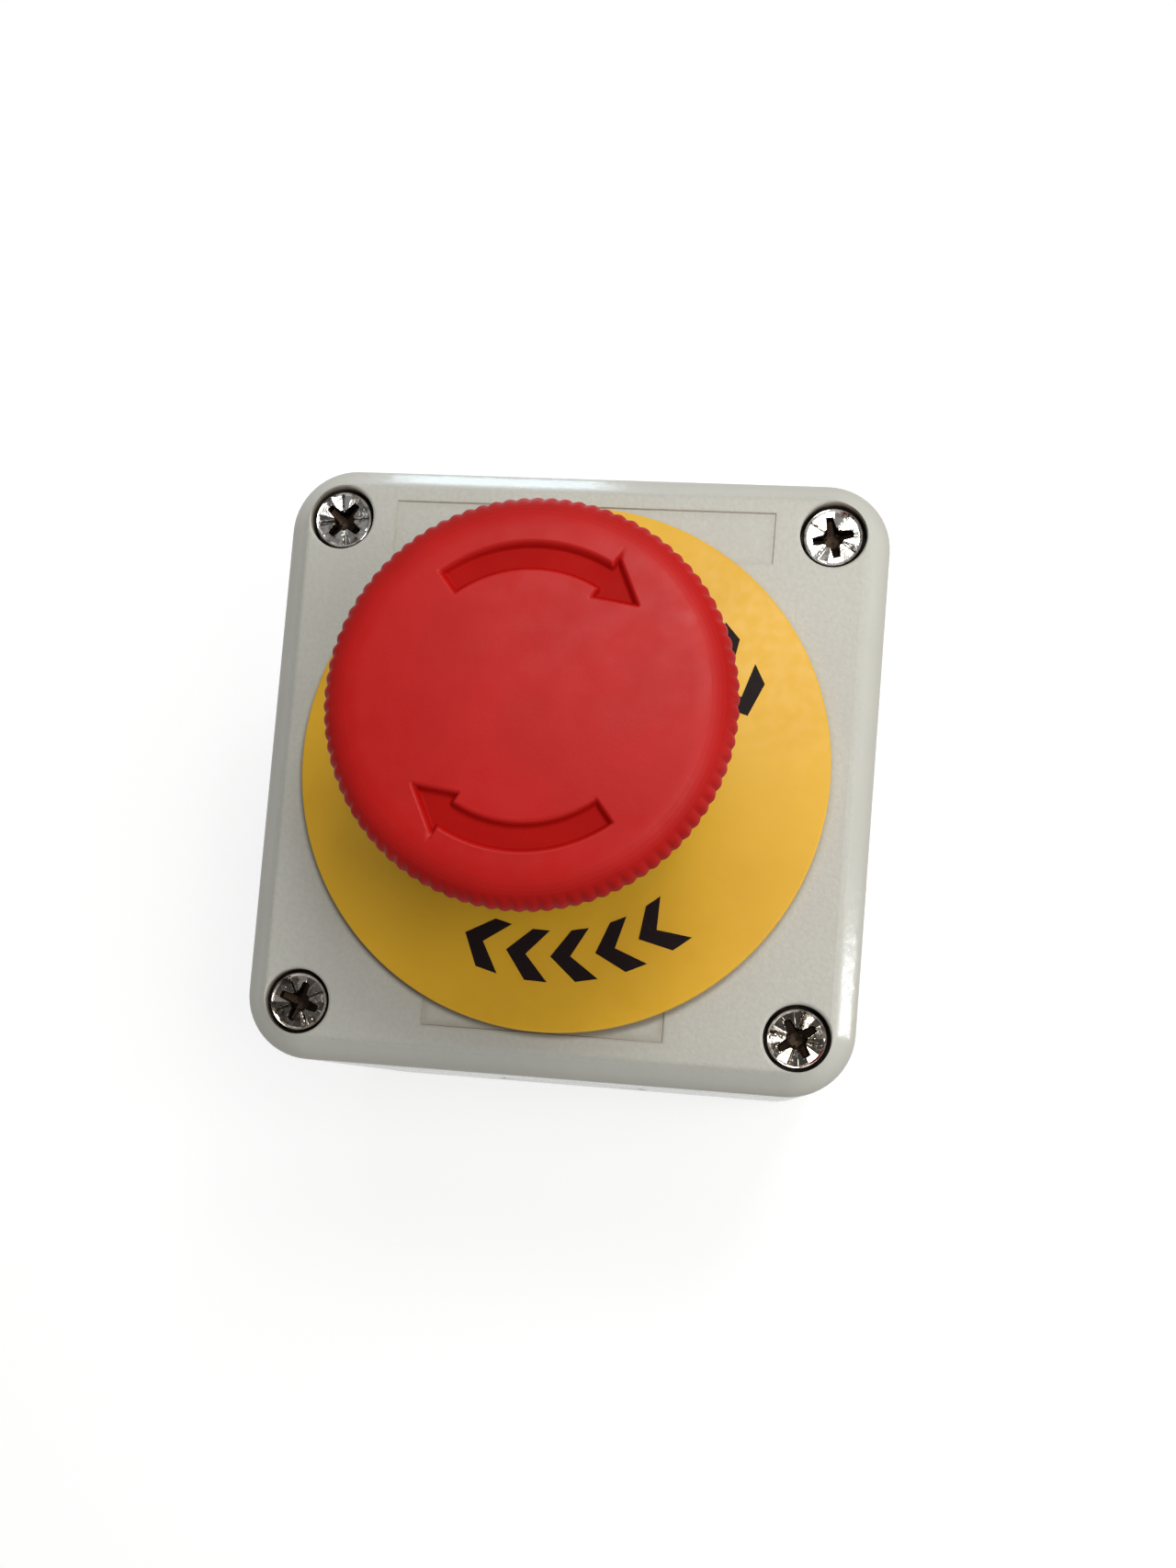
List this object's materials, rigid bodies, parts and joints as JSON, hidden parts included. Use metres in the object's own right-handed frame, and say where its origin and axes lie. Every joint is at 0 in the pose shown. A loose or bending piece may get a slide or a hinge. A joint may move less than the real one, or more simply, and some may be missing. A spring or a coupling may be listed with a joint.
{
  "type": "emergency stop push button",
  "caption": "Twist-to-release emergency stop button with a red knurled mushroom head on a grey wall box with a yellow legend disc.",
  "frame": {"origin": "centre of the back mounting face, which lies at z = 0", "axes": "+Z out of the cover along the press axis, towards the user; +Y towards the upper cable entry; +X to the user's right"},
  "size_m": [0.07, 0.07, 0.0833],
  "materials": {
    "grey_plastic": "fine matt texture, glossy on the bevel",
    "red_plastic": "satin",
    "yellow_plastic": "satin",
    "black_plastic": "matt",
    "white_plastic": "matt",
    "red_nylon": "matt",
    "green_nylon": "matt",
    "clear_plastic": "smooth",
    "black_rubber": "matt",
    "nickel": "bright nickel plate",
    "steel": "bright drawn",
    "die_cast": "as cast, satin",
    "brass": "bright"
  },
  "bodies": {
    "enclosure": {"base_box": "grey_plastic", "collar_screw_1": "steel", "collar_screw_2": "steel", "cover": "grey_plastic", "cover_gasket": "black_rubber", "cover_screw_1": "nickel", "cover_screw_2": "nickel", "cover_screw_3": "nickel", "cover_screw_4": "nickel", "latch_spring": "steel", "legend_disc": "yellow_plastic", "lock_nut": "black_plastic", "mounting_collar": "die_cast", "nc_fixed_contact_1": "brass", "nc_fixed_contact_2": "brass", "nc_housing": "red_nylon", "nc_side_plate": "clear_plastic", "nc_spring": "steel", "nc_terminal_screw_1": "nickel", "nc_terminal_screw_2": "nickel", "nc_wire_clamp_1": "nickel", "nc_wire_clamp_2": "nickel", "no_fixed_contact_1": "brass", "no_fixed_contact_2": "brass", "no_housing": "green_nylon", "no_side_plate": "clear_plastic", "no_spring": "steel", "no_terminal_screw_1": "nickel", "no_terminal_screw_2": "nickel", "no_wire_clamp_1": "nickel", "no_wire_clamp_2": "nickel", "panel_gasket": "black_rubber", "return_spring": "steel", "threaded_bush": "black_plastic", "wiper_seal": "black_rubber"},
    "plunger": {"plunger_foot": "white_plastic", "plunger_guide": "white_plastic", "release_spring": "steel"},
    "head": {"head_stem": "steel", "mushroom_cap": "red_plastic", "stem_circlip": "steel"},
    "nc_slider": {"nc_bridge": "brass", "nc_carrier": "red_nylon"},
    "no_slider": {"no_bridge": "brass", "no_carrier": "green_nylon"}
  },
  "joints": [
    {"name": "press", "type": "slide", "parent": "enclosure", "child": "plunger", "axis": [0, 0, -1], "range_m": [0, 0.0055], "stiffness_N_per_m": 2180, "springref_m": -0.0037, "deforming": ["return_spring"]},
    {"name": "twist", "type": "hinge", "parent": "plunger", "child": "head", "pos_m": [0, 0, 0.0638], "axis": [0, 0, 1], "range_deg": [-45, 0], "stiffness_Nm_per_rad": 0.05, "springref_deg": 11.46},
    {"name": "nc_slide", "type": "slide", "parent": "enclosure", "child": "nc_slider", "axis": [0, 0, -1], "range_m": [0, 0.0055], "deforming": ["nc_spring"]},
    {"name": "no_slide", "type": "slide", "parent": "enclosure", "child": "no_slider", "axis": [0, 0, -1], "range_m": [0, 0.0055], "deforming": ["no_spring"]}
  ],
  "couplings": [
    {"joint": "nc_slide", "follows": "press", "ratio": 1},
    {"joint": "no_slide", "follows": "press", "ratio": 1}
  ]
}
